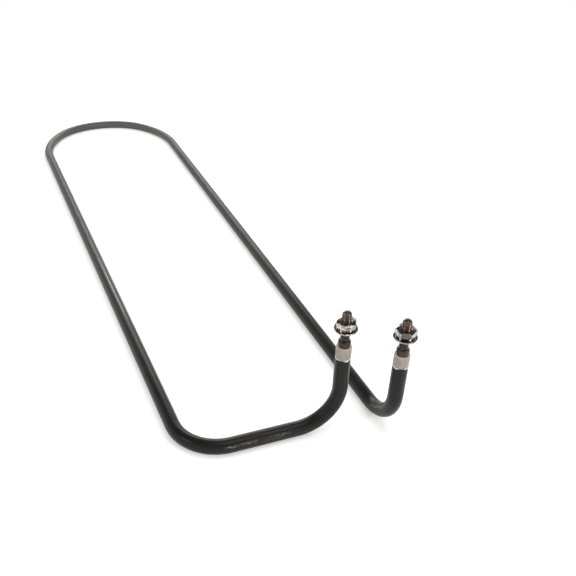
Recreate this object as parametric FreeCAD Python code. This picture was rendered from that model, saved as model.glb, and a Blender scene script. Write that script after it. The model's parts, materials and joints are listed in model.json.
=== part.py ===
import FreeCAD, Part
import math
import os

# A tubular heating element: one bent tube that lies flat, with both ends turned up side by side.
# Lengths are in millimetres and angles in degrees. The tube rests on z = 0, and the closed
# end of the loop points along +Y. The origin is under the middle of the whole element.

# Tube
tube_diameter = 8.0
tube_wall = 0.7

# Loop, along the middle of the tube, from the closed end to the two upturned ends
far_crown_radius = 56.0
far_flank_radius = 108.0
far_flank_angle = 35.0
leg_splay = 1.65
left_leg_length = 447.0
right_leg_length = 470.5
near_bend_radius = 26.0
cross_run_length = 81.5
cross_run_slant = 4.8
rise_bend_radius = 23.0
rise_height = 43.0

# Heating core
coil_diameter = 3.0
coil_wire = 0.5
cold_pin_diameter = 2.4
cold_length = 70.0
coil_grip_length = 6.0
packing_clearance = 0.05

# Ceramic collar and the seal under it
collar_diameter = 7.8
collar_height = 6.7
collar_rim_chamfer = 0.35
spigot_length = 7.0
seal_length = 4.0

# Terminal, turned in one piece: foot, neck, seat for the washers and stud
foot_diameter = 6.5
foot_height = 4.0
foot_chamfer = 0.5
neck_diameter = 4.6
neck_height = 4.6
seat_flare_height = 0.9
seat_diameter = 6.4
seat_height = 0.7
stud_diameter = 4.8
stud_length = 10.0
stud_tip_chamfer = 0.8
socket_depth = 3.0

# Washers and nut on the stud
hole_clearance = 0.15
thread_clearance = 0.05
flat_washer_diameter = 12.0
flat_washer_thickness = 0.9
lock_washer_diameter = 9.0
lock_washer_thickness = 1.0
lock_washer_gap = 0.9
lock_washer_gap_slant = 20.0
nut_width = 9.5
nut_height = 3.2
nut_corner_angle = 30.0
nut_mouth_chamfer = 0.3
left_nut_turn = 56.0
right_nut_turn = 25.0

# Radii and levels that follow from the sizes above
tube_radius = tube_diameter / 2
tube_bore_radius = tube_radius - tube_wall
packed_radius = tube_bore_radius - packing_clearance
pin_radius = cold_pin_diameter / 2
pin_hole_radius = pin_radius + packing_clearance
coil_radius = coil_diameter / 2
coil_bore_radius = coil_radius - coil_wire
grip_radius = coil_bore_radius - packing_clearance
stud_radius = stud_diameter / 2
washer_hole_radius = stud_radius + hole_clearance
nut_hole_radius = stud_radius + thread_clearance
loop_level = tube_radius

origin = FreeCAD.Vector(0, 0, 0)
up = FreeCAD.Vector(0, 0, 1)


def polar(length, angle):
    turn = math.radians(angle)
    return FreeCAD.Vector(length * math.cos(turn), length * math.sin(turn), 0)


# The far end is an arch of three arcs: a wide flank on either side and a tighter crown between
leg_direction_left = polar(1, leg_splay - 90)
leg_direction_right = polar(1, -90 - leg_splay)
flank_offset_left = polar(far_flank_radius - far_crown_radius, -far_flank_angle)
flank_offset_right = polar(far_flank_radius - far_crown_radius, 180 + far_flank_angle)
far_right_offset = flank_offset_right + polar(far_flank_radius, -leg_splay)
right_corner_offset = far_right_offset + leg_direction_right * right_leg_length
far_reach = far_crown_radius + tube_radius
near_reach = flat_washer_diameter / 2 - right_corner_offset.y
crown_centre = FreeCAD.Vector(0, (near_reach - far_reach) / 2, loop_level)
flank_centre_left = crown_centre + flank_offset_left
flank_centre_right = crown_centre + flank_offset_right
flank_middle_angle = (far_flank_angle - leg_splay) / 2
far_left = flank_centre_left + polar(far_flank_radius, 180 + leg_splay)
flank_middle_left = flank_centre_left + polar(far_flank_radius, 180 - flank_middle_angle)
crown_left = crown_centre + polar(far_crown_radius, 180 - far_flank_angle)
crown_middle = crown_centre + polar(far_crown_radius, 90)
crown_right = crown_centre + polar(far_crown_radius, far_flank_angle)
flank_middle_right = flank_centre_right + polar(far_flank_radius, flank_middle_angle)
far_right = crown_centre + far_right_offset

# Corner points of the tube's centre line, before the near bends are rounded
near_corner = far_left + leg_direction_left * left_leg_length
left_corner = near_corner + polar(cross_run_length, -cross_run_slant)
right_corner = crown_centre + right_corner_offset
left_end = left_corner + up * rise_height
right_end = right_corner + up * rise_height


def line(start, stop):
    return Part.LineSegment(start, stop).toShape()


def bend(before, corner, after, radius):
    arriving = (before - corner).normalize()
    leaving = (after - corner).normalize()
    half_opening = arriving.getAngle(leaving) / 2
    inwards = (arriving + leaving).normalize()
    setback = radius / math.tan(half_opening)
    nearest = radius / math.sin(half_opening) - radius
    start = corner + arriving * setback
    stop = corner + leaving * setback
    return start, stop, Part.Arc(start, corner + inwards * nearest, stop).toShape()


def centre_line():
    left_rise = bend(left_end, left_corner, near_corner, rise_bend_radius)
    near_bend = bend(left_corner, near_corner, far_left, near_bend_radius)
    right_rise = bend(far_right, right_corner, right_end, rise_bend_radius)
    return [
        line(left_end, left_rise[0]),
        left_rise[2],
        line(left_rise[1], near_bend[0]),
        near_bend[2],
        line(near_bend[1], far_left),
        Part.Arc(far_left, flank_middle_left, crown_left).toShape(),
        Part.Arc(crown_left, crown_middle, crown_right).toShape(),
        Part.Arc(crown_right, flank_middle_right, far_right).toShape(),
        line(far_right, right_rise[0]),
        right_rise[2],
        line(right_rise[1], right_end),
    ]


route = centre_line()
route_length = sum(edge.Length for edge in route)


# The part of the centre line between two distances from the left cut end
def stretch(start, stop):
    edges = []
    passed = 0.0
    for edge in route:
        first = max(start - passed, 0.0)
        last = min(stop - passed, edge.Length)
        if last > first:
            curve = edge.Curve
            edges.append(
                curve.toShape(edge.getParameterByLength(first), edge.getParameterByLength(last))
            )
        passed += edge.Length
    return edges


# The same distances counted from either cut end
def stretch_from(side, start, stop):
    if side == "left":
        return stretch(start, stop)
    return stretch(route_length - stop, route_length - start)


def ring_face(centre, direction, outer_radius, inner_radius):
    face = Part.Face(Part.Wire(Part.makeCircle(outer_radius, centre, direction)))
    if inner_radius == 0:
        return face
    hole = Part.Face(Part.Wire(Part.makeCircle(inner_radius, centre, direction)))
    return face.cut(hole).Faces[0]


# A round bar or pipe along the centre line: straight runs are extruded and bends are revolved
def bar_along(edges, outer_radius, inner_radius=0):
    spans = []
    for edge in edges:
        start = edge.valueAt(edge.FirstParameter)
        face = ring_face(start, edge.tangentAt(edge.FirstParameter), outer_radius, inner_radius)
        if isinstance(edge.Curve, Part.Circle):
            sweep = math.degrees(edge.LastParameter - edge.FirstParameter)
            spans.append(face.revolve(edge.Curve.Center, edge.Curve.Axis, sweep))
        else:
            spans.append(face.extrude(edge.valueAt(edge.LastParameter) - start))
    return join(spans)


def join(solids):
    if len(solids) == 1:
        return solids[0]
    return solids[0].multiFuse(solids[1:]).removeSplitter()


def turned(profile):
    points = [FreeCAD.Vector(radius, 0, level) for radius, level in profile]
    outline = Part.makePolygon(points + [points[0]])
    return Part.Face(outline).revolve(origin, up, 360)


def disc(radius, height, level=0.0):
    return Part.makeCylinder(radius, height, FreeCAD.Vector(0, 0, level))


# Levels on a terminal, counted up from the tube's cut end
foot_level = collar_height
shoulder_level = foot_level + foot_height
flare_level = shoulder_level + neck_height
rim_level = flare_level + seat_flare_height
seat_level = rim_level + seat_height
tip_level = seat_level + stud_length
lock_washer_level = seat_level + flat_washer_thickness
nut_level = lock_washer_level + lock_washer_thickness


def sheath():
    return bar_along(route, tube_radius, tube_bore_radius)


# The powder is a sleeve round the coil and the cold pins, and a core inside the coil
def filling():
    packed_from = spigot_length + seal_length
    cold_sleeves = [
        bar_along(stretch_from(side, packed_from, cold_length), packed_radius, pin_hole_radius)
        for side in ("left", "right")
    ]
    hot_sleeve = bar_along(
        stretch(cold_length, route_length - cold_length),
        packed_radius,
        coil_radius + packing_clearance,
    )
    core_from = cold_length + coil_grip_length + packing_clearance
    core = bar_along(stretch(core_from, route_length - core_from), grip_radius)
    return Part.makeCompound([join([cold_sleeves[0], hot_sleeve, cold_sleeves[1]]), core])


# The wound wire is drawn as the sleeve that its turns fill
def coil():
    return bar_along(
        stretch(cold_length, route_length - cold_length), coil_radius, coil_bore_radius
    )


def cold_pin(side, end):
    inside = bar_along(stretch_from(side, 0, cold_length), pin_radius)
    grip = bar_along(
        stretch_from(side, cold_length, cold_length + coil_grip_length), grip_radius
    )
    above = disc(pin_radius, foot_level + socket_depth - packing_clearance)
    above.translate(end)
    return join([above, inside, grip])


def end_seal(side):
    return bar_along(
        stretch_from(side, spigot_length, spigot_length + seal_length),
        packed_radius,
        pin_hole_radius,
    )


def ceramic_collar():
    collar_radius = collar_diameter / 2
    return turned([
        (pin_hole_radius, -spigot_length),
        (packed_radius, -spigot_length),
        (packed_radius, 0),
        (collar_radius, 0),
        (collar_radius, collar_height - collar_rim_chamfer),
        (collar_radius - collar_rim_chamfer, collar_height),
        (pin_hole_radius, collar_height),
    ])


def terminal_stud():
    foot_radius = foot_diameter / 2
    neck_radius = neck_diameter / 2
    seat_radius = seat_diameter / 2
    body = turned([
        (0, foot_level),
        (foot_radius, foot_level),
        (foot_radius, shoulder_level - foot_chamfer),
        (foot_radius - foot_chamfer, shoulder_level),
        (neck_radius, shoulder_level),
        (neck_radius, flare_level),
        (seat_radius, rim_level),
        (seat_radius, seat_level),
        (stud_radius, seat_level),
        (stud_radius, tip_level - stud_tip_chamfer),
        (stud_radius - stud_tip_chamfer, tip_level),
        (0, tip_level),
    ])
    return body.cut(disc(pin_hole_radius, socket_depth, foot_level))


def flat_washer():
    outer = disc(flat_washer_diameter / 2, flat_washer_thickness, seat_level)
    return outer.cut(disc(washer_hole_radius, flat_washer_thickness, seat_level))


# A spring ring, cut through on one side along a slant
def lock_washer():
    outer_radius = lock_washer_diameter / 2
    ring = disc(outer_radius, lock_washer_thickness, lock_washer_level)
    ring = ring.cut(disc(washer_hole_radius, lock_washer_thickness, lock_washer_level))
    slot = Part.makeBox(
        lock_washer_diameter,
        lock_washer_gap,
        lock_washer_thickness * 3,
        FreeCAD.Vector(0, -lock_washer_gap / 2, -lock_washer_thickness * 3 / 2),
    )
    slot.rotate(origin, FreeCAD.Vector(1, 0, 0), lock_washer_gap_slant)
    slot.translate(up * (lock_washer_level + lock_washer_thickness / 2))
    return ring.cut(slot)


# Hexagon with its corners rounded off by a cone at each face
def hex_nut():
    corner_radius = nut_width / 2 / math.cos(math.pi / 6)
    flat_radius = nut_width / 2
    cone_drop = (corner_radius - flat_radius) * math.tan(math.radians(nut_corner_angle))
    corners = [polar(corner_radius, 60 * index) for index in range(7)]
    prism = Part.Face(Part.makePolygon(corners)).extrude(up * nut_height)
    barrel = turned([
        (0, 0),
        (flat_radius, 0),
        (corner_radius, cone_drop),
        (corner_radius, nut_height - cone_drop),
        (flat_radius, nut_height),
        (0, nut_height),
    ])
    mouth_radius = nut_hole_radius + nut_mouth_chamfer
    hole = turned([
        (0, 0),
        (mouth_radius, 0),
        (nut_hole_radius, nut_mouth_chamfer),
        (nut_hole_radius, nut_height - nut_mouth_chamfer),
        (mouth_radius, nut_height),
        (0, nut_height),
    ])
    nut = prism.common(barrel).cut(hole)
    nut.translate(up * nut_level)
    return nut


def placed(shape, end, turn=0.0):
    copy = shape.copy()
    copy.rotate(origin, up, turn)
    copy.translate(end)
    return copy


def element():
    nodes = {
        "sheath_tube": sheath(),
        "magnesia_filling": filling(),
        "resistance_coil": coil(),
    }
    for side, end, nut_turn in (
        ("left", left_end, left_nut_turn),
        ("right", right_end, right_nut_turn),
    ):
        nodes[side + "_cold_pin"] = cold_pin(side, end)
        nodes[side + "_end_seal"] = end_seal(side)
        nodes[side + "_ceramic_collar"] = placed(ceramic_collar(), end)
        nodes[side + "_terminal_stud"] = placed(terminal_stud(), end)
        nodes[side + "_flat_washer"] = placed(flat_washer(), end)
        nodes[side + "_lock_washer"] = placed(lock_washer(), end, nut_turn)
        nodes[side + "_hex_nut"] = placed(hex_nut(), end, nut_turn)
    return nodes


os.makedirs("parts", exist_ok=True)
for name, shape in element().items():
    shape.exportStep(os.path.join("parts", name + ".step"))
    print(name, "valid", shape.isValid(), "solids", len(shape.Solids), "volume", round(shape.Volume, 2))
section = math.pi * (tube_radius ** 2 - tube_bore_radius ** 2)
print("tube length", round(route_length, 1), "tube volume by length", round(section * route_length, 2))
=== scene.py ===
import json
import math

import bpy
from mathutils import Matrix, Vector


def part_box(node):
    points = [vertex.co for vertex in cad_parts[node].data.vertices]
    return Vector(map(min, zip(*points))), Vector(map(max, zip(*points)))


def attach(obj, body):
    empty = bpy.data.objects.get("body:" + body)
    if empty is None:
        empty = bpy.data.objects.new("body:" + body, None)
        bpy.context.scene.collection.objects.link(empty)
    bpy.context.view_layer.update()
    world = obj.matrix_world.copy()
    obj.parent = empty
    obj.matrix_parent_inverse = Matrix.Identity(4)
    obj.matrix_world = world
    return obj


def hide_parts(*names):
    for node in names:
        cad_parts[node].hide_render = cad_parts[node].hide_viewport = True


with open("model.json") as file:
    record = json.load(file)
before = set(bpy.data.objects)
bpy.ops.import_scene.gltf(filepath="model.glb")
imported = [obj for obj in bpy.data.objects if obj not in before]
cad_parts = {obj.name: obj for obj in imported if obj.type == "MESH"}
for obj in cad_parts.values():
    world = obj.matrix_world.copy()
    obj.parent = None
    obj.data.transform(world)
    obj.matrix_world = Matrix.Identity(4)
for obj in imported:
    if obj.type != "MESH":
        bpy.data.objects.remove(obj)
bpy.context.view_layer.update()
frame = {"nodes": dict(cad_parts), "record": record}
mounts = {mount["name"]: mount for mount in frame["record"]["mounts"]}
sides = ("left", "right")
print("frame loaded,", len(frame["nodes"]), "nodes")


# A socket of a material, so that shader maths reads as plain arithmetic
class Signal:
    def __init__(self, paint, socket):
        self.paint = paint
        self.socket = socket

    def __add__(self, other):
        return self.paint.maths("ADD", self, other)

    def __radd__(self, other):
        return self.paint.maths("ADD", other, self)

    def __sub__(self, other):
        return self.paint.maths("SUBTRACT", self, other)

    def __rsub__(self, other):
        return self.paint.maths("SUBTRACT", other, self)

    def __mul__(self, other):
        return self.paint.maths("MULTIPLY", self, other)

    def __rmul__(self, other):
        return self.paint.maths("MULTIPLY", other, self)


# One material, or the world, and the nodes that are added to it
class Paint:
    def __init__(self, name, world=False):
        library = bpy.data.worlds if world else bpy.data.materials
        self.material = library.new(name)
        self.material.use_nodes = True
        self.tree = self.material.node_tree
        self.shader = self.tree.nodes["Background" if world else "Principled BSDF"]

    def feed(self, socket, value):
        if isinstance(value, Signal):
            self.tree.links.new(value.socket, socket)
        else:
            socket.default_value = value

    def node(self, kind, settings=None, inputs=None, output=0):
        made = self.tree.nodes.new("ShaderNode" + kind)
        for name, value in (settings or {}).items():
            setattr(made, name, value)
        for name, value in (inputs or {}).items():
            self.feed(made.inputs[name], value)
        return Signal(self, made.outputs[output])

    def maths(self, operation, first, second=0.0):
        return self.node("Math", {"operation": operation}, {0: first, 1: second})

    def scaled(self, vector, scale):
        return self.node("VectorMath", {"operation": "MULTIPLY"}, {0: vector, 1: scale})

    def noise(self, vector, scale, detail=3.0, roughness=0.55, stretch=None):
        return self.node("TexNoise", None, {
            "Vector": self.scaled(vector, stretch) if stretch else vector,
            "Scale": scale,
            "Detail": detail,
            "Roughness": roughness,
        })

    # 0 below the first value, 1 above the second, smooth between
    def ramp(self, value, low, high):
        return self.node("MapRange", {"interpolation_type": "SMOOTHSTEP"}, {
            "Value": value, "From Min": low, "From Max": high,
        })

    # 1 inside a span of values, 0 outside, with soft ends
    def span(self, value, low, high, soft):
        falling = self.ramp(value, high - soft, high + soft)
        return self.ramp(value, low - soft, low + soft) * (1.0 - falling)

    def blend(self, factor, first, second):
        return self.node("Mix", {"data_type": "RGBA"}, {0: factor, 6: first, 7: second}, 2)

    def place(self, kind="Object"):
        return self.node("TexCoord", None, None, kind)

    def part(self, vector, axis):
        return self.node("SeparateXYZ", None, {0: vector}, axis)

    # 1 for what the camera, a mirror or a glass would show, 0 for plain light
    def seen(self):
        camera, glossy, transmission = (
            self.node("LightPath", None, None, "Is %s Ray" % kind)
            for kind in ("Camera", "Glossy", "Transmission")
        )
        return self.maths("MAXIMUM", self.maths("MAXIMUM", camera, glossy), transmission)

    def bump(self, height, distance, strength):
        return self.node("Bump", None, {
            "Height": height, "Distance": distance, "Strength": strength,
        })

    def finish(self, **values):
        for name, value in values.items():
            self.feed(self.shader.inputs[socketNames[name]], value)
        return self.material


socketNames = {
    "colour": "Base Color",
    "metallic": "Metallic",
    "roughness": "Roughness",
    "coat": "Coat Weight",
    "coatRoughness": "Coat Roughness",
    "specular": "Specular IOR Level",
    "normal": "Normal",
    "glow": "Emission Color",
    "glowStrength": "Emission Strength",
    "light": "Color",
    "strength": "Strength",
}
uvName = "UVMap"


# A mesh that takes the place of one node of the CAD
def makePiece(name, node, paint, points, faces, sharp, uvs=None, bevel=None):
    mesh = bpy.data.meshes.new(name)
    mesh.from_pydata([tuple(point) for point in points], [], faces)
    mesh.validate()
    if uvs:
        layer = mesh.uv_layers.new(name=uvName)
        layer.data.foreach_set("uv", [value for face in uvs for pair in face for value in pair])
    piece = bpy.data.objects.new(name, mesh)
    bpy.context.collection.objects.link(piece)
    mesh.materials.append(paint)
    mesh.shade_smooth()
    mesh.set_sharp_from_angle(angle=math.radians(sharp))
    if bevel:
        rounding = piece.modifiers.new("rounding", "BEVEL")
        rounding.width = bevel["width"]
        rounding.segments = bevel["segments"]
        rounding.limit_method = "ANGLE"
        rounding.angle_limit = math.radians(bevel["fromAngle"])
        rounding.harden_normals = True
    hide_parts(node)
    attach(piece, "root")


# Faces between rings of points that each close on themselves
def ringFaces(ringCount, segments, closed=False):
    faces = []
    last = ringCount if closed else ringCount - 1
    for ring in range(last):
        here = ring * segments
        there = (ring + 1) % ringCount * segments
        for index in range(segments):
            after = (index + 1) % segments
            faces.append((here + index, here + after, there + after, there + index))
    return faces


# The upright line that a terminal stands on
def axisOf(side):
    low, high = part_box(side + "_ceramic_collar")
    return Vector(((low.x + high.x) / 2, (low.y + high.y) / 2, 0.0))


# The sheath, bent to the radii below between the straight runs that the record states
sheathSettings = {
    "radius": 0.004,
    "boreRadius": 0.0033,
    "segments": 56,
    "farStep": 2.0,      # degrees between rings in the far arch
    "bendStep": 3.0,     # degrees between rings in the other bends
    "runStep": 0.006,
    "crownRadius": 0.056,
    "flankRadius": 0.108,
    "flankAngle": 35.0,
    "nearBendRadius": 0.026,
    "riseBendRadius": 0.023,
    "cornerRounds": 20,
    "lip": 0.00022,
    "lipWave": 0.00009,
    "rimShare": 0.3,     # how far down the lip the rim turns in
    "calmAfter": 4.0,    # lips from the cut to where the wave is gone
    "sharp": 50.0,
}


def straight(start, stop, step):
    count = max(1, round((stop - start).length / step))
    return [start.lerp(stop, index / count) for index in range(1, count + 1)]


def arc(start, centre, normal, angle, stepDegrees):
    count = max(2, round(math.degrees(abs(angle)) / stepDegrees))
    spoke = start - centre
    return [
        centre + Matrix.Rotation(angle * index / count, 3, normal) @ spoke
        for index in range(1, count + 1)
    ]


# An arc that rounds the corner between two directions, from where it leaves the first run
def roundCorner(start, arriving, leaving, radius, stepDegrees):
    normal = arriving.cross(leaving).normalized()
    centre = start + normal.cross(arriving) * radius
    return arc(start, centre, normal, arriving.angle(leaving), stepDegrees)


# Both ends of a straight run, whose mount gives its middle, direction and length
def runEnds(name):
    mount = mounts[name]
    middle = Vector(mount["pos_m"])
    reach = Vector(mount["axis"]).normalized() * mount["dims"]["length_mm"] / 2000
    return middle - reach, middle + reach


# The centre line from the left cut end, round the loop, to the right cut end
def tubePath(settings):
    leftFar, leftNear = runEnds("left_leg")
    rightFar, rightNear = runEnds("right_leg")
    leftLow, leftTop = runEnds("left_terminal_leg")
    rightLow, rightTop = runEnds("right_terminal_leg")
    runStep, bendStep = settings["runStep"], settings["bendStep"]
    nearRadius, riseRadius = settings["nearBendRadius"], settings["riseBendRadius"]
    down = Vector((0, 0, -1))
    legWay = (leftFar - leftNear).normalized()
    leftCorner = Vector((leftTop.x, leftTop.y, leftNear.z))
    # The near corner and the way of the cross run depend on each other, so both settle in rounds
    nearCorner = leftNear.copy()
    for _ in range(settings["cornerRounds"]):
        crossWay = (nearCorner - leftCorner).normalized()
        setback = nearRadius * math.tan(crossWay.angle(legWay) / 2)
        nearCorner = leftNear - legWay * setback
    crossStart = leftCorner + crossWay * riseRadius
    crossStop = nearCorner - crossWay * setback
    points = [leftTop] + straight(leftTop, leftLow, runStep)
    points += roundCorner(leftLow, down, crossWay, riseRadius, bendStep)
    points += straight(crossStart, crossStop, runStep)
    points += roundCorner(crossStop, crossWay, legWay, nearRadius, bendStep)
    points += straight(leftNear, leftFar, runStep)
    returnWay = (rightNear - rightFar).normalized()
    splay = (math.pi - legWay.angle(returnWay)) / 2
    flank = math.radians(settings["flankAngle"])
    way = legWay
    for radius, sweep in (
        (settings["flankRadius"], flank + splay),
        (settings["crownRadius"], math.pi - 2 * flank),
        (settings["flankRadius"], flank + splay),
    ):
        centre = points[-1] + down.cross(way) * radius
        points += arc(points[-1], centre, down, sweep, settings["farStep"])
        way = Matrix.Rotation(sweep, 3, down) @ way
    miss = round((points[-1] - rightFar).length * 1e6)
    print("far bend meets the right leg within", miss, "micrometres")
    points[-1] = rightFar
    points += straight(rightFar, rightNear, runStep)
    points += roundCorner(rightNear, returnWay, -down, riseRadius, bendStep)
    points += straight(rightLow, rightTop, runStep)
    return points


def sheathMesh(settings):
    path = tubePath(settings)
    count = len(path)
    last = count - 1
    tangents = [
        (path[min(index + 1, last)] - path[max(index - 1, 0)]).normalized()
        for index in range(count)
    ]
    tangents[0] = Vector((0, 0, -1))
    tangents[-1] = Vector((0, 0, 1))
    # The spokes turn with the path and no more, so the tube isn't twisted
    spokes = [Vector((0, -1, 0))]
    travelled = [0.0]
    for index in range(1, count):
        turn = tangents[index - 1].rotation_difference(tangents[index])
        spokes.append(turn @ spokes[-1])
        travelled.append(travelled[-1] + (path[index] - path[index - 1]).length)
    segments = settings["segments"]

    def ring(index, radius, drop, wave):
        centre, tangent, spoke = path[index], tangents[index], spokes[index]
        other = tangent.cross(spoke)
        inwards = tangent if index == 0 else -tangent
        points = []
        for step in range(segments):
            angle = 2 * math.pi * step / segments
            # Two waves round the lip, shifted from one end to the other, make it ragged
            ripple = wave * (math.sin(5 * angle + index) + 0.6 * math.sin(9 * angle + 1.3))
            away = spoke * math.cos(angle) + other * math.sin(angle)
            points.append(centre + away * radius + inwards * (drop + ripple))
        return points

    outer, bore = settings["radius"], settings["boreRadius"]
    lip, wave = settings["lip"], settings["lipWave"]
    rim, calm = lip * settings["rimShare"], lip * settings["calmAfter"]
    # Radius, depth below the cut and height of the wave, from the bore out over the lip
    lipRings = (
        (bore, lip, 0.0),
        (bore + lip, 0.0, 0.0),
        (outer - lip, 0.0, wave),
        (outer - rim, rim, wave),
        (outer, lip, wave),
        (outer, calm, 0.0),
    )
    stations = [(0, *lipRing) for lipRing in lipRings]
    stations += [(index, outer, 0.0, 0.0) for index in range(1, last)]
    stations += [(last, *lipRing) for lipRing in reversed(lipRings)]
    stations += [(index, bore, 0.0, 0.0) for index in range(last - 1, 0, -1)]
    points, marks = [], []
    for index, radius, drop, ripple in stations:
        points += ring(index, radius, drop, ripple)
        marks.append(travelled[index] + (drop if index == 0 else -drop))
    faces = ringFaces(len(stations), segments, closed=True)
    uvs = []
    for here, there in zip(marks, marks[1:] + marks[:1]):
        for step in range(segments):
            low, high = step / segments, (step + 1) / segments
            uvs.append(((here, low), (here, high), (there, high), (there, low)))
    return points, faces, uvs


# Distances run along the tube from the left cut end, and shares of a turn run round it
sheathLook = {
    "cold": (0.0105, 0.0105, 0.0105, 1.0),
    "warm": (0.044, 0.0420, 0.0395, 1.0),
    "hot": (0.120, 0.115, 0.108, 1.0),
    # Bare metal at the cut lip, so pale and so little metallic that it is also a painted
    # highlight
    "bareAndGlint": (0.90, 0.88, 0.84, 1.0),
    "scuffAndGlint": (0.19, 0.185, 0.175, 1.0),
    "nick": (0.58, 0.57, 0.545, 1.0),
    "brown": (0.15, 0.105, 0.075, 1.0),
    "drawn": {"scale": 2600.0, "detail": 4.0, "roughness": 0.6, "stretch": (1.0, 1.0, 0.02)},
    "cloudy": {"scale": 55.0, "detail": 4.0, "roughness": 0.6},
    "grain": {"scale": 2400.0, "detail": 2.0, "roughness": 0.5},
    "torn": {"scale": 2100.0, "detail": 4.0, "roughness": 0.7, "stretch": (1.0, 1.0, 0.3)},
    "nicked": {"scale": 2600.0, "detail": 2.0, "stretch": (1.0, 1.0, 0.45)},
    "ragged": {"scale": 420.0, "detail": 2.0, "stretch": (1.0, 1.0, 0.1)},
    "warmSpan": ((0.12, 0.42), (0.98, 1.23)),
    "hotSpan": ((0.49, 0.63), (0.74, 0.86)),
    "wander": 0.06,
    "shade": {"plain": 0.62, "cloudy": 0.40, "drawn": 0.36},
    "dusty": {"along": (0.050, 0.096), "soft": 0.02, "share": 0.55, "from": (0.35, 0.62)},
    "browned": {"along": (0.735, 0.752), "soft": 0.006, "share": 0.3},
    "scuffsAndGlint": (
        {"along": (0.0790, 0.0950), "round": (0.070, 0.120), "strength": 0.75},
        {"along": (0.0610, 0.0720), "round": (0.080, 0.125), "strength": 0.65},
        {"along": (0.0640, 0.0740), "round": (0.040, 0.065), "strength": 0.45},
        {"along": (1.2540, 1.2670), "round": (0.345, 0.440), "strength": 0.55},
        {"along": (1.2650, 1.2790), "round": (0.380, 0.480), "strength": 0.65},
        # This entry is no scuff: it is a painted highlight, a small glint painted on the far
        # arch
        {"along": (0.6690, 0.6730), "round": (0.150, 0.290), "strength": 0.60},
        {"along": (0.3300, 0.3420), "round": (0.230, 0.260), "strength": 0.50},
    ),
    "scuffAndGlintSoft": (0.0015, 0.012),
    "tornFrom": (0.47, 0.60),
    "nickFrom": (0.60, 0.68),
    "nickStrength": 1.3,
    "bareAndGlintFrom": (0.04640, 0.04675),
    "bareAndGlintWander": 0.0030,
    "bareAndGlintMetallic": 0.2,
    "polished": {"along": (0.236, 0.300), "round": (0.270, 0.400), "depth": 0.22},
    "polishedSoft": (0.02, 0.03),
    "coldRoughness": 0.33,
    "hotRoughness": 0.40,
    "roughnessSwing": {"cloudy": 0.22, "drawn": 0.16, "bareAndGlint": 0.08},
    "specular": 0.20,
    "relief": 0.00002,
    "reliefStrength": 0.5,
}


def sheathPaint(look, radius):
    paint = Paint("blackOxide")
    along = paint.node("UVMap", {"uv_map": uvName})
    distance = paint.part(along, "X")
    share = paint.part(along, "Y")
    angle = share * (2 * math.pi)
    rim = paint.node("CombineXYZ", None, {
        "X": paint.maths("COSINE", angle) * radius,
        "Y": paint.maths("SINE", angle) * radius,
        "Z": distance,
    })
    place = paint.place()
    drawn = paint.noise(rim, **look["drawn"])
    cloudy = paint.noise(place, **look["cloudy"])
    grain = paint.noise(place, **look["grain"])
    wander = distance + (cloudy - 0.5) * look["wander"]

    # Rises over the first pair of distances and falls over the second
    def heated(spans):
        rising, falling = spans
        return paint.ramp(wander, *rising) * (1.0 - paint.ramp(wander, *falling))

    # A patch of the surface, along the tube and round it
    def patch(spot, soft):
        lengthwise = paint.span(distance, *spot["along"], soft[0])
        return lengthwise * paint.span(share, *spot["round"], soft[1])

    warm = heated(look["warmSpan"])
    colour = paint.blend(warm, look["cold"], look["warm"])
    colour = paint.blend(heated(look["hotSpan"]), colour, look["hot"])
    dusty = look["dusty"]
    dust = paint.span(distance, *dusty["along"], dusty["soft"])
    dust = dust * paint.ramp(drawn, *dusty["from"]) * dusty["share"]
    colour = paint.blend(dust, colour, look["warm"])
    shade = look["shade"]
    level = shade["plain"] + cloudy * shade["cloudy"] + drawn * shade["drawn"]
    colour = paint.scaled(colour, level)
    browned = look["browned"]
    stain = paint.span(distance, *browned["along"], browned["soft"]) * browned["share"]
    colour = paint.blend(stain, colour, look["brown"])
    torn = paint.ramp(paint.noise(rim, **look["torn"]), *look["tornFrom"])
    # Scuffs lighten the surface, and one entry among them adds a painted highlight, a glint on
    # the far arch
    scuffAndGlintMask = 0.0
    for scuffAndGlint in look["scuffsAndGlint"]:
        scuffAndGlintMask = patch(scuffAndGlint, look["scuffAndGlintSoft"]) * torn * scuffAndGlint["strength"] + scuffAndGlintMask
    colour = paint.blend(scuffAndGlintMask, colour, look["scuffAndGlint"])
    nicks = paint.ramp(paint.noise(rim, **look["nicked"]), *look["nickFrom"])
    colour = paint.blend(scuffAndGlintMask * nicks * look["nickStrength"], colour, look["nick"])
    # The cut lip is bare metal, and its near-white colour is a painted highlight standing for
    # the glints on the cut edge
    ragged = paint.noise(rim, **look["ragged"]) - 0.5
    height = paint.part(place, "Z") + ragged * look["bareAndGlintWander"]
    bareAndGlint = paint.ramp(height, *look["bareAndGlintFrom"])
    colour = paint.blend(bareAndGlint, colour, look["bareAndGlint"])
    swing = look["roughnessSwing"]
    roughness = look["coldRoughness"] + warm * (look["hotRoughness"] - look["coldRoughness"])
    roughness = roughness + (cloudy - 0.5) * swing["cloudy"] + (drawn - 0.5) * swing["drawn"]
    buffed = patch(look["polished"], look["polishedSoft"]) * look["polished"]["depth"]
    roughness = roughness - bareAndGlint * swing["bareAndGlint"] - buffed
    return paint.finish(
        colour=colour,
        metallic=bareAndGlint * look["bareAndGlintMetallic"],
        roughness=roughness,
        specular=look["specular"],
        normal=paint.bump(drawn * 0.5 + grain * 0.5, look["relief"], look["reliefStrength"]),
    )


points, faces, uvs = sheathMesh(sheathSettings)
oxide = sheathPaint(sheathLook, sheathSettings["radius"])
makePiece("sheath", "sheath_tube", oxide, points, faces, sheathSettings["sharp"], uvs)
print("sheath", len(faces), "faces")


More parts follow.
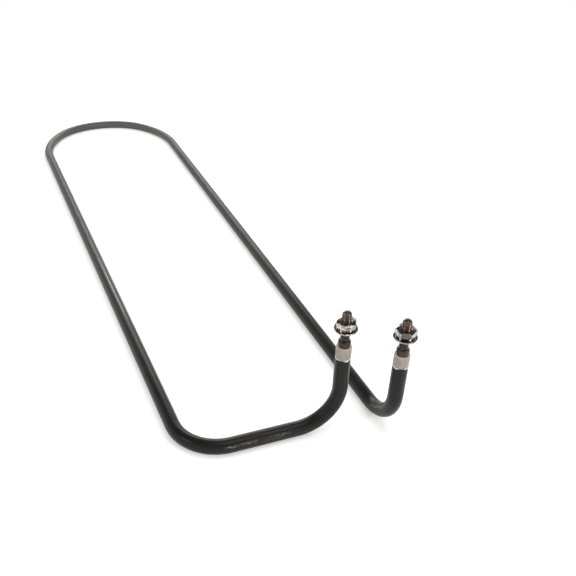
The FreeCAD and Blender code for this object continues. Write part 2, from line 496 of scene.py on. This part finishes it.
# Rings of points that turn a profile of (radius, level) points round an upright line
def lathe(profile, segments, centre, radiusAt=None):
    points = []
    for radius, level in profile:
        for step in range(segments):
            angle = 2 * math.pi * step / segments
            reach = radiusAt(radius, level, angle) if radiusAt else radius
            away = Vector((reach * math.cos(angle), reach * math.sin(angle), level))
            points.append(centre + away)
    return points


# Closes the first and the last ring of a mesh with a face each
def closeEnds(faces, ringCount, segments):
    faces.append(tuple(reversed(range(segments))))
    faces.append(tuple((ringCount - 1) * segments + index for index in range(segments)))
    return faces


# Short round corners in a profile, which take less than half of the side to either hand
def softened(profile, reach, steps, most=0.45):
    result = [profile[0]]
    for before, corner, after in zip(profile, profile[1:], profile[2:]):
        here, previous, following = Vector(corner), Vector(before), Vector(after)
        size = min(reach, (here - previous).length * most, (following - here).length * most)
        start = here + (previous - here).normalized() * size
        stop = here + (following - here).normalized() * size
        for step in range(steps + 1):
            share = step / steps
            point = start * (1 - share) ** 2 + here * 2 * share * (1 - share) + stop * share ** 2
            result.append(tuple(point))
    result.append(profile[-1])
    return result


collarSettings = {
    "segments": 72,
    "radius": 0.00398,
    "bore": 0.00125,
    "spigotRadius": 0.00325,
    "height": 0.0067,
    "rimRound": 0.0004,
    "rimSteps": 5,
    "sharp": 60.0,
}
collarLook = {
    "light": (0.47, 0.415, 0.355, 1.0),
    "dark": (0.335, 0.295, 0.250, 1.0),
    # rim: a painted highlight, a lighter band along the top edge
    "rim": (0.66, 0.575, 0.515, 1.0),
    "clouds": {"scale": 420.0, "detail": 4.0, "roughness": 0.6},
    "speckle": {"scale": 3200.0, "detail": 3.0, "roughness": 0.6},
    "mottleFrom": (0.40, 0.64),
    "rimHighlightHeight": 0.00045,
    "rimHighlightWander": 0.0005,
    "roughness": 0.66,
    "roughnessSwing": 0.2,
    "relief": 0.00004,
    "reliefStrength": 0.6,
}


def collarPaint(look, top):
    paint = Paint("unglazedCeramic")
    place = paint.place()
    clouds = paint.noise(place, **look["clouds"])
    speckle = paint.noise(place, **look["speckle"])
    mottle = paint.ramp(clouds * 0.6 + speckle * 0.4, *look["mottleFrom"])
    colour = paint.blend(mottle, look["dark"], look["light"])
    # A lighter band painted along the top edge: a painted highlight on the rim
    height = paint.part(place, "Z") + (clouds - 0.5) * look["rimHighlightWander"]
    colour = paint.blend(paint.ramp(height, top - look["rimHighlightHeight"], top), colour, look["rim"])
    relief = speckle * 0.7 + clouds * 0.3
    return paint.finish(
        colour=colour,
        roughness=look["roughness"] + (speckle - 0.5) * look["roughnessSwing"],
        normal=paint.bump(relief, look["relief"], look["reliefStrength"]),
    )


# A sleeve on the cut end of the tube, with a spigot that goes down into its bore
def collar(side, settings, paint):
    node = side + "_ceramic_collar"
    low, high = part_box(node)
    cut = high.z - settings["height"]
    bore, radius, spigot = settings["bore"], settings["radius"], settings["spigotRadius"]
    profile = softened([
        (bore, high.z),
        (bore, low.z),
        (spigot, low.z),
        (spigot, cut),
        (radius, cut),
        (radius, high.z),
        (bore, high.z),
    ], settings["rimRound"], settings["rimSteps"])[:-1]
    segments = settings["segments"]
    points = lathe(profile, segments, axisOf(side))
    faces = ringFaces(len(profile), segments, closed=True)
    makePiece(side + "Collar", node, paint, points, faces, settings["sharp"])


ceramic = collarPaint(collarLook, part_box("left_ceramic_collar")[1].z)
for side in sides:
    collar(side, collarSettings, ceramic)
print("collars made")


terminalSettings = {
    "segments": 72,
    "socketRadius": 0.00125,
    "socketDepth": 0.003,
    "footRadius": 0.00335,
    "footHeight": 0.004,
    "footInset": 0.0003,
    "footFlare": 0.0007,
    "shoulderDrop": 0.0019,
    "shoulderAngles": range(0, 85, 12),
    "neckRadius": 0.0024,
    "neckHeight": 0.0046,
    "neckStart": 0.0004,
    "neckStop": 0.0008,
    "flareHeight": 0.0009,
    "seatRadius": 0.0032,
    "seatHeight": 0.0007,
    "corner": 0.0006,
    "cornerSteps": 5,
    "studRadius": 0.0024,
    "studRings": 190,
    "pitch": 0.0008,
    "threadDepth": 0.00022,
    "threadNarrow": 3.0,    # a groove takes two thirds of the pitch
    "threadFade": 0.0016,
    "tipRound": 0.0013,
    "tipSquash": 0.9,
    "sharp": 60.0,
}
terminalLook = {
    "foot": (0.034, 0.016, 0.013, 1.0),
    "neck": (0.011, 0.009, 0.010, 1.0),
    "stud": (0.100, 0.068, 0.048, 1.0),
    "crest": (0.30, 0.26, 0.23, 1.0),
    "tip": (0.30, 0.29, 0.28, 1.0),
    "clouds": {"scale": 600.0, "detail": 4.0, "roughness": 0.6},
    "turned": {"scale": 6000.0, "detail": 3.0, "roughness": 0.6, "stretch": (0.15, 0.15, 1.0)},
    "wander": 0.0008,
    "neckDown": 0.0002,
    "neckSoft": 0.0003,
    "studFrom": (-0.0004, 0.0002),
    "crestFrom": (0.42, 0.75),
    "crestShare": 0.35,
    "tipFrom": (-0.0009, -0.0001),
    "tipShare": 0.6,
    "metallic": 0.95,
    "roughness": 0.17,
    "roughnessSwing": {"clouds": 0.12, "turned": 0.06},
    "coat": 0.3,
    "coatRoughness": 0.08,
    "relief": 0.000006,
    "reliefStrength": 0.5,
}


# Levels of the foot's underside, of the washers' seat and of the tip of the stud
def terminalPaint(look, settings, foot, seat, tip):
    paint = Paint("brownedSteel")
    place = paint.place()
    clouds = paint.noise(place, **look["clouds"])
    turned = paint.noise(place, **look["turned"])
    wander = paint.part(place, "Z") + (clouds - 0.5) * look["wander"]
    neckLow = foot + settings["footHeight"] - look["neckDown"]
    onNeck = paint.span(wander, neckLow, seat - look["neckDown"], look["neckSoft"])
    onStud = paint.ramp(wander, *(seat + level for level in look["studFrom"]))
    onTip = paint.ramp(wander, *(tip + level for level in look["tipFrom"]))
    worn = paint.ramp(turned * 0.5 + clouds * 0.5, *look["crestFrom"])
    colour = paint.blend(onNeck, look["foot"], look["neck"])
    colour = paint.blend(onStud, colour, look["stud"])
    colour = paint.blend(worn * look["crestShare"], colour, look["crest"])
    colour = paint.blend(onTip * look["tipShare"], colour, look["tip"])
    swing = look["roughnessSwing"]
    roughness = look["roughness"] + (clouds - 0.5) * swing["clouds"]
    return paint.finish(
        colour=colour,
        metallic=look["metallic"],
        roughness=roughness + (turned - 0.5) * swing["turned"],
        coat=(1.0 - onStud) * look["coat"],
        coatRoughness=look["coatRoughness"],
        normal=paint.bump(turned, look["relief"], look["reliefStrength"]),
    )


# Foot, neck and threaded stud in one piece, with a socket for the cold pin underneath
def terminal(side, settings, paint):
    node = side + "_terminal_stud"
    low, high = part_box(node)
    foot, tip = low.z, high.z
    shoulder = foot + settings["footHeight"]
    flare = shoulder + settings["neckHeight"]
    rim = flare + settings["flareHeight"]
    seat = rim + settings["seatHeight"]
    socketRadius, footRadius = settings["socketRadius"], settings["footRadius"]
    neckRadius, studRadius = settings["neckRadius"], settings["studRadius"]
    threadDepth, tipRound = settings["threadDepth"], settings["tipRound"]
    step, drop = footRadius - neckRadius, settings["shoulderDrop"]
    shoulderRound = [
        (neckRadius + step * math.cos(angle), shoulder - drop * (1 - math.sin(angle)))
        for angle in map(math.radians, settings["shoulderAngles"])
    ]
    profile = softened([
        (socketRadius, foot + settings["socketDepth"]),
        (socketRadius, foot),
        (footRadius - settings["footInset"], foot),
        (footRadius, foot + settings["footFlare"]),
        *shoulderRound,
        (neckRadius, shoulder + settings["neckStart"]),
        (neckRadius, flare - settings["neckStop"]),
        (settings["seatRadius"], rim),
        (settings["seatRadius"], seat),
        (studRadius - threadDepth, seat),
    ], settings["corner"], settings["cornerSteps"])
    studRings = settings["studRings"]
    profile += [
        (studRadius, seat + (tip - seat) * index / studRings)
        for index in range(1, studRings + 1)
    ]

    # The groove winds up the stud and fades out at its rounded tip
    def radiusAt(radius, level, angle):
        if level <= seat:
            return radius
        turn = ((level - seat) / settings["pitch"] - angle / (2 * math.pi)) % 1.0
        groove = max(0.0, 1 - abs(turn - 0.5) * settings["threadNarrow"])
        fromTip = tip - level
        reach = radius - threadDepth * groove * min(1.0, fromTip / settings["threadFade"])
        if fromTip < tipRound:
            share = 1 - fromTip / tipRound
            bow = 1 - math.sqrt(max(0.0, 1 - share * share))
            reach -= tipRound * settings["tipSquash"] * bow
        return reach

    segments = settings["segments"]
    points = lathe(profile, segments, axisOf(side), radiusAt)
    faces = closeEnds(ringFaces(len(profile), segments), len(profile), segments)
    makePiece(side + "Terminal", node, paint, points, faces, settings["sharp"])


for side in sides:
    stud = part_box(side + "_terminal_stud")
    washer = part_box(side + "_flat_washer")
    browned = terminalPaint(terminalLook, terminalSettings, stud[0].z, washer[0].z, stud[1].z)
    terminal(side, terminalSettings, browned)
print("terminals made")


fastenerLook = {
    "bright": (0.66, 0.635, 0.605, 1.0),
    "dull": (0.42, 0.395, 0.37, 1.0),
    "stain": (0.085, 0.070, 0.060, 1.0),
    "clouds": {"scale": 500.0, "detail": 3.0, "roughness": 0.6},
    "scratches": {"scale": 7000.0, "detail": 3.0, "roughness": 0.7, "stretch": (1.0, 0.12, 0.6)},
    "stains": {"scale": 620.0, "detail": 3.0, "roughness": 0.6, "stretch": (1.0, 1.0, 1.8)},
    "brightFrom": (0.40, 0.66),
    "stainFrom": (0.49, 0.60),
    "stainShare": 0.85,
    # A darker patch on the front facet of the right nut: a painted dark reflection
    "paintedReflectionSpot": (0.0491, -0.2827, 0.0669),
    "paintedReflectionReach": (0.0018, 0.0036),
    "paintedReflectionWander": 0.002,
    "paintedReflectionShare": 0.9,
    "roughness": 0.12,
    "roughnessSwing": {"clouds": 0.10, "scratches": 0.06},
    "relief": 0.000012,
    "reliefStrength": 0.5,
}


def nickelPaint(look):
    paint = Paint("brightNickel")
    place = paint.place()
    clouds = paint.noise(place, **look["clouds"])
    scratches = paint.noise(place, **look["scratches"])
    stains = paint.noise(place, **look["stains"])
    colour = paint.blend(paint.ramp(clouds, *look["brightFrom"]), look["dull"], look["bright"])
    stained = paint.ramp(stains, *look["stainFrom"]) * look["stainShare"]
    colour = paint.blend(stained, colour, look["stain"])
    # A painted dark reflection: the stain colour is laid round one spot, on the right nut's
    # front facet
    spot = {0: place, 1: look["paintedReflectionSpot"]}
    away = paint.node("VectorMath", {"operation": "DISTANCE"}, spot, "Value")
    away = away + (stains - 0.5) * look["paintedReflectionWander"]
    near = 1.0 - paint.ramp(away, *look["paintedReflectionReach"])
    colour = paint.blend(near * look["paintedReflectionShare"], colour, look["stain"])
    swing = look["roughnessSwing"]
    roughness = look["roughness"] + (clouds - 0.5) * swing["clouds"]
    relief = scratches * 0.4 + clouds
    return paint.finish(
        colour=colour,
        metallic=1.0,
        roughness=roughness + (scratches - 0.5) * swing["scratches"],
        normal=paint.bump(relief, look["relief"], look["reliefStrength"]),
    )


nickel = nickelPaint(fastenerLook)
flatWasherSettings = {
    "radius": 0.006,
    "hole": 0.00255,
    "rimRound": 0.00028,
    "rimSteps": 4,
    "segments": 96,
    "sharp": 60.0,
}
lockWasherSettings = {
    "radius": 0.0045,
    "hole": 0.00255,
    "gap": 0.0009,
    "slant": 20.0,
    "lift": 0.00012,
    "rimRound": 0.00025,
    "rimSteps": 3,
    "segments": 84,
    "sharp": 50.0,
}
nutSettings = {
    "width": 0.0095,
    "hole": 0.00245,
    "mouth": 0.0003,
    "cone": 24.0,
    "inset": 0.00036,
    "stepDegrees": 3,
    "bevel": {"width": 0.00012, "segments": 3, "fromAngle": 28.0},
    "turn": {"left": 56.0, "right": 25.0},
    "sharp": 40.0,
}


def flatWasher(side, settings, paint):
    node = side + "_flat_washer"
    low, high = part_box(node)
    hole, radius = settings["hole"], settings["radius"]
    profile = softened([
        (hole, high.z), (hole, low.z), (radius, low.z), (radius, high.z), (hole, high.z),
    ], settings["rimRound"], settings["rimSteps"])[:-1]
    points = lathe(profile, settings["segments"], axisOf(side))
    faces = ringFaces(len(profile), settings["segments"], closed=True)
    makePiece(side + "FlatWasher", node, paint, points, faces, settings["sharp"])


# A spring ring, open on one side along a slant, its two ends a little apart in height
def lockWasher(side, settings, paint, turned):
    node = side + "_lock_washer"
    low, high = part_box(node)
    centre = axisOf(side)
    thickness = high.z - low.z
    squeeze = thickness - settings["lift"]
    lean = thickness * math.tan(math.radians(settings["slant"]))
    hole, outer = settings["hole"], settings["radius"]
    # Levels in the section run from -0.5 at the underside to 0.5 at the top
    section = softened([
        (hole, -0.5), (hole, 0.5), (outer, 0.5), (outer, -0.5), (hole, -0.5),
    ], settings["rimRound"], settings["rimSteps"])
    section = [(radius, min(0.5, max(-0.5, level))) for radius, level in section[:-1]]
    segments = settings["segments"]
    points = []
    for step in range(segments + 1):
        share = step / segments
        for radius, level in section:
            opening = settings["gap"] / 2 / radius
            angle = turned + opening + share * 2 * (math.pi - opening) + level * lean / radius
            height = low.z + settings["lift"] * share + squeeze * (level + 0.5)
            away = Vector((radius * math.cos(angle), radius * math.sin(angle), height))
            points.append(centre + away)
    faces = closeEnds(ringFaces(segments + 1, len(section)), segments + 1, len(section))
    makePiece(side + "LockWasher", node, paint, points, faces, settings["sharp"])


# A hexagon whose corners are cut back by a cone at both ends
def nut(side, settings, paint, turned):
    node = side + "_hex_nut"
    low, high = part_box(node)
    centre = axisOf(side)
    flat = settings["width"] / 2
    top = flat - settings["inset"]
    cone = math.tan(math.radians(settings["cone"]))
    hole, mouth = settings["hole"], settings["mouth"]
    columns = []
    for degrees in range(0, 360, settings["stepDegrees"]):
        angle = math.radians(degrees) + turned
        reach = flat / math.cos(math.radians(degrees % 60 - 30))
        drop = (reach - top) * cone
        way = Vector((math.cos(angle), math.sin(angle), 0))
        columns.append([
            centre + way * radius + Vector((0, 0, level))
            for radius, level in (
                (hole, low.z + mouth),
                (hole + mouth, low.z),
                (top, low.z),
                (reach, low.z + drop),
                (reach, high.z - drop),
                (top, high.z),
                (hole + mouth, high.z),
                (hole, high.z - mouth),
            )
        ])
    points = [point for ring in zip(*columns) for point in ring]
    faces = ringFaces(len(columns[0]), len(columns), closed=True)
    makePiece(
        side + "Nut", node, paint, points, faces, settings["sharp"],
        bevel=settings["bevel"],
    )


# The slot of the lock washer turns with its nut
for side in sides:
    turned = math.radians(nutSettings["turn"][side])
    flatWasher(side, flatWasherSettings, nickel)
    lockWasher(side, lockWasherSettings, nickel, turned)
    nut(side, nutSettings, nickel, turned)
print("washers and nuts made")


# What is inside the tube keeps its CAD shape
insideSettings = {
    "detail": 3.0,
    "noiseRoughness": 0.6,
    "highFrom": (0.35, 0.65),
    "roughnessSwing": 0.2,
    "reliefStrength": 0.6,
}
insideLooks = {
    "magnesia_filling": {
        "name": "packedPowder",
        "low": (0.80, 0.78, 0.74, 1.0),
        "high": (0.90, 0.89, 0.86, 1.0),
        "metallic": 0.0,
        "roughness": 0.9,
        "scale": 1800.0,
        "stretch": (1, 1, 1),
        "relief": 0.00006,
    },
    "resistance_coil": {
        "name": "drawnWire",
        "low": (0.34, 0.32, 0.30, 1.0),
        "high": (0.56, 0.54, 0.51, 1.0),
        "metallic": 1.0,
        "roughness": 0.35,
        "scale": 2200.0,
        "stretch": (1, 1, 1),
        "relief": 0.00004,
    },
    "cold_pin": {
        "name": "drawnRod",
        "low": (0.44, 0.43, 0.41, 1.0),
        "high": (0.62, 0.60, 0.58, 1.0),
        "metallic": 1.0,
        "roughness": 0.3,
        "scale": 2600.0,
        "stretch": (1, 1, 0.1),
        "relief": 0.00001,
    },
    "end_seal": {
        "name": "softSeal",
        "low": (0.50, 0.20, 0.13, 1.0),
        "high": (0.62, 0.29, 0.19, 1.0),
        "metallic": 0.0,
        "roughness": 0.7,
        "scale": 1400.0,
        "stretch": (1, 1, 1),
        "relief": 0.00004,
    },
}


def insidePaint(look, settings):
    paint = Paint(look["name"])
    grain = paint.noise(
        paint.place(), look["scale"], settings["detail"], settings["noiseRoughness"],
        look["stretch"],
    )
    light = paint.ramp(grain, *settings["highFrom"])
    return paint.finish(
        colour=paint.blend(light, look["low"], look["high"]),
        metallic=look["metallic"],
        roughness=look["roughness"] + (grain - 0.5) * settings["roughnessSwing"],
        normal=paint.bump(grain, look["relief"], settings["reliefStrength"]),
    )


for ending, look in insideLooks.items():
    material = insidePaint(look, insideSettings)
    for name, node in frame["nodes"].items():
        if name.endswith(ending):
            for holder in node.material_slots:
                holder.material = material
print("inner nodes painted")


# The floor is plain and pale, and looks the same in reflections as to the camera
floorSettings = {
    "size": 2.2,
    "drop": 0.00005,
    "colour": (0.88, 0.88, 0.875, 1.0),
    "other": (0.90, 0.90, 0.90, 1.0),
    "clouds": {"scale": 40.0, "detail": 2.0},
    "roughness": 0.9,
    "lift": 0.36,
}


def makeFloor(settings):
    half, level = settings["size"] / 2, -settings["drop"]
    corners = [(x * half, y * half, level) for x, y in ((-1, -1), (1, -1), (1, 1), (-1, 1))]
    mesh = bpy.data.meshes.new("floor")
    mesh.from_pydata(corners, [], [(0, 1, 2, 3)])
    floor = bpy.data.objects.new("floor", mesh)
    bpy.context.collection.objects.link(floor)
    paint = Paint("paleFloor")
    clouds = paint.noise(paint.place(), **settings["clouds"])
    mesh.materials.append(paint.finish(
        colour=paint.blend(clouds, settings["colour"], settings["other"]),
        roughness=settings["roughness"],
        specular=0.0,
        glow=paint.seen() * settings["lift"],
        glowStrength=1.0,
    ))


# The backdrop is white to well above the horizon, under a dim ceiling
worldSettings = {
    "backdrop": 1.0,
    "backdropTop": 26.0,
    "ceilingFrom": 36.0,
    "ceiling": 0.08,
    "dome": 0.60,
}


# Camera, glossy and transmission rays meet the backdrop, diffuse rays an even dome
def makeWorld(settings):
    paint = Paint("studio", world=True)
    height = paint.part(paint.place("Generated"), "Z")
    low = math.sin(math.radians(settings["backdropTop"]))
    high = math.sin(math.radians(settings["ceilingFrom"]))
    darker = paint.ramp(height, low, high) * (settings["ceiling"] - settings["backdrop"])
    backdrop = settings["backdrop"] + darker
    level = settings["dome"] + paint.seen() * (backdrop - settings["dome"])
    bpy.context.scene.world = paint.finish(light=(1.0, 1.0, 1.0, 1.0), strength=level)


lampSettings = {
    "back": {
        "at": (0.35, 1.25, 0.75),
        "aim": (0.0, 0.0, 0.0),
        "size": (0.9, 0.32),
        "power": 7.0,
        "colour": (1.0, 0.985, 0.96),
    },
    "over": {
        "at": (0.24, -0.33, 1.30),
        "aim": (0.03, -0.2, 0.04),
        "size": (0.80, 0.50),
        "power": 3.0,
        "colour": (1.0, 0.98, 0.95),
    },
    "key": {
        "at": (0.53, -1.08, 0.58),
        "aim": (0.03, -0.2, 0.04),
        "size": (0.20, 0.20),
        "power": 3.0,
        "colour": (1.0, 0.97, 0.93),
    },
    "fill": {
        "at": (-1.1, -0.2, 0.9),
        "aim": (0.0, 0.0, 0.0),
        "size": (0.35, 0.35),
        "power": 2.0,
        "colour": (0.96, 0.98, 1.0),
    },
}


def makeLamps(lamps):
    for name, settings in lamps.items():
        data = bpy.data.lights.new(name, "AREA")
        data.shape = "RECTANGLE"
        data.size, data.size_y = settings["size"]
        data.energy = settings["power"]
        data.color = settings["colour"]
        lamp = bpy.data.objects.new(name, data)
        lamp.location = settings["at"]
        way = Vector(settings["aim"]) - Vector(settings["at"])
        lamp.rotation_euler = way.to_track_quat("-Z", "Y").to_euler()
        lamp.visible_camera = False
        bpy.context.collection.objects.link(lamp)


cameraSettings = {
    "eye": (-0.10007, -0.46203, 0.23741),
    "right": (0.90742, -0.41922, 0.02914),
    "up": (0.20394, 0.49993, 0.84171),
    "lens": 37.802,
    "sensor": 36.0,
    "nearest": 0.01,
}


def makeCamera(settings):
    data = bpy.data.cameras.new("camera")
    data.sensor_width = settings["sensor"]
    data.sensor_height = settings["sensor"]
    data.lens = settings["lens"]
    data.clip_start = settings["nearest"]
    camera = bpy.data.objects.new("camera", data)
    right = Vector(settings["right"]).normalized()
    back = right.cross(Vector(settings["up"])).normalized()
    up = back.cross(right)
    turn = Matrix((right, up, back)).transposed().to_4x4()
    camera.matrix_world = Matrix.Translation(settings["eye"]) @ turn
    bpy.context.collection.objects.link(camera)
    bpy.context.scene.camera = camera


makeFloor(floorSettings)
makeWorld(worldSettings)
makeLamps(lampSettings)
makeCamera(cameraSettings)
bpy.context.scene.view_settings.view_transform = "Standard"
print("stage made")
